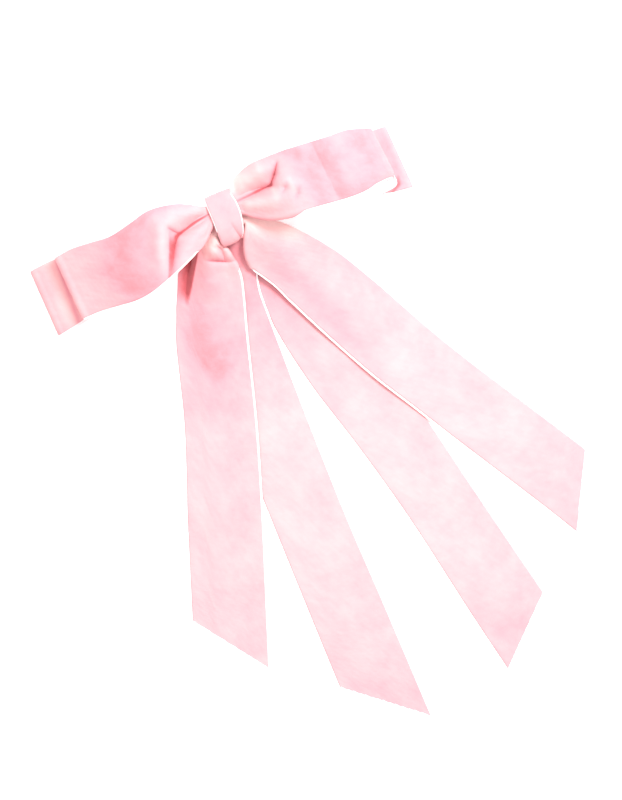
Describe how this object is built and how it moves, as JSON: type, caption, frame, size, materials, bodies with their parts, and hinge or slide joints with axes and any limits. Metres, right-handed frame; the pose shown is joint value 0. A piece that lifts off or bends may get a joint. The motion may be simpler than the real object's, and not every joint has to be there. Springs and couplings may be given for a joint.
{
  "type": "barrette",
  "caption": "Wide velvet ribbon bow with doubled loops, a wrapped knot and long slant-cut tails, fixed to an arched spring clip.",
  "frame": {"origin": "middle of the gap in which the closed clip grips the hair, halfway along the clip", "axes": "+X along the clip towards its clasp, +Y away from the tails, +Z out through the bow, away from the head"},
  "size_m": [0.2201, 0.2857, 0.036],
  "materials": {
    "velvet": "pale pink velvet pile with paler woven edges",
    "thread": "twisted polyester thread",
    "felt": "matt pressed felt",
    "steel": "nickel-plated spring steel"
  },
  "bodies": {
    "bow": {"upper_bow_ribbon": "velvet", "lower_bow_ribbon": "velvet", "front_left_tail": "velvet", "front_right_tail": "velvet", "back_left_tail": "velvet", "back_right_tail": "velvet", "centre_wrap": "velvet", "gather_thread": "thread", "wrap_stitches": "thread", "felt_backing": "felt", "top_plate": "steel", "hinge_bracket": "steel", "hinge_rivet": "steel", "hinge_pin": "steel", "tension_spring": "steel", "clasp_base": "steel", "clasp_rivet": "steel"},
    "arm": {"clasp_arm": "steel"},
    "prong_front": {"clasp_prong_front": "steel"},
    "prong_back": {"clasp_prong_back": "steel"}
  },
  "joints": [
    {"name": "arm_hinge", "type": "hinge", "parent": "bow", "child": "arm", "pos_m": [-0.038, 0, -0.00535], "axis": [0, 1, 0], "range_deg": [0, 85], "deforming": ["tension_spring"]},
    {"name": "prong_front_squeeze", "type": "hinge", "parent": "bow", "child": "prong_front", "pos_m": [0.0359, -0.0024, 0.0028], "axis": [1, 0, 0], "range_deg": [0, 8], "stiffness_Nm_per_rad": 0.02},
    {"name": "prong_back_squeeze", "type": "hinge", "parent": "bow", "child": "prong_back", "pos_m": [0.0359, 0.0024, 0.0028], "axis": [-1, 0, 0], "range_deg": [0, 8], "stiffness_Nm_per_rad": 0.02}
  ]
}
